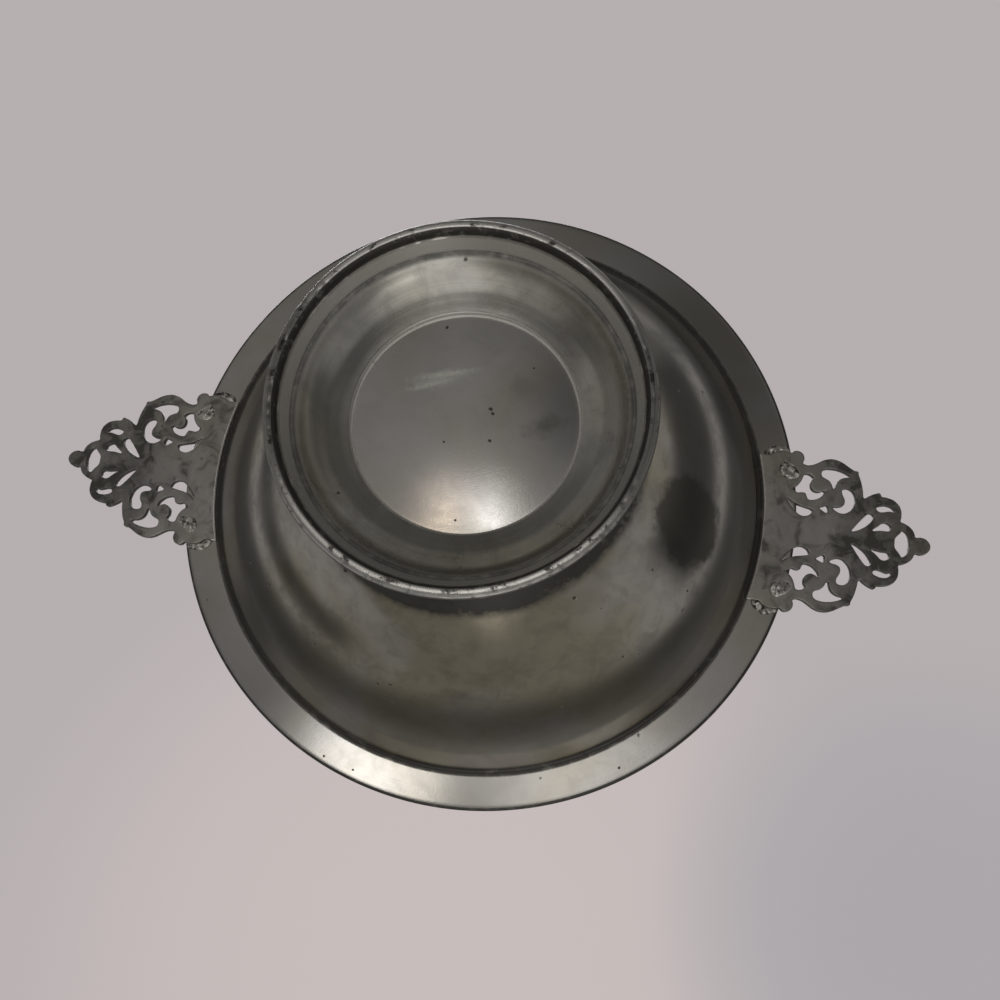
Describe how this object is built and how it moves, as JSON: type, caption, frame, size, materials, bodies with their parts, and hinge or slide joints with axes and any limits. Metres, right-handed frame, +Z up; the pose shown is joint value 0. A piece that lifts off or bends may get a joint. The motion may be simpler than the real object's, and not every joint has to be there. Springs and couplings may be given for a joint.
{
  "type": "footed porringer",
  "caption": "Pewter porringer: a round spun bowl with a flat rim and a flared foot, and a flat pierced scroll handle soldered under each side of the rim.",
  "frame": {"origin": "middle of the foot's base, on the surface that the porringer stands on", "axes": "+Z up along the bowl's axis, +X along the line of the two handles towards the right handle"},
  "size_m": [0.2116, 0.15, 0.0678],
  "materials": {
    "pewter": "old spun pewter, dull grey with fine turning marks, pits and dark patina in the corners",
    "cast_pewter": "old cast pewter, dull grey, filed smooth, dark in the piercings",
    "solder": "soft tin solder, a little brighter than the pewter, uneven"
  },
  "bodies": {
    "root": {"bowl": "pewter", "foot": "pewter", "right_handle": "cast_pewter", "left_handle": "cast_pewter", "foot_outer_seam": "solder", "foot_inner_seam": "solder", "right_handle_solder": "solder", "left_handle_solder": "solder"}
  },
  "joints": []
}
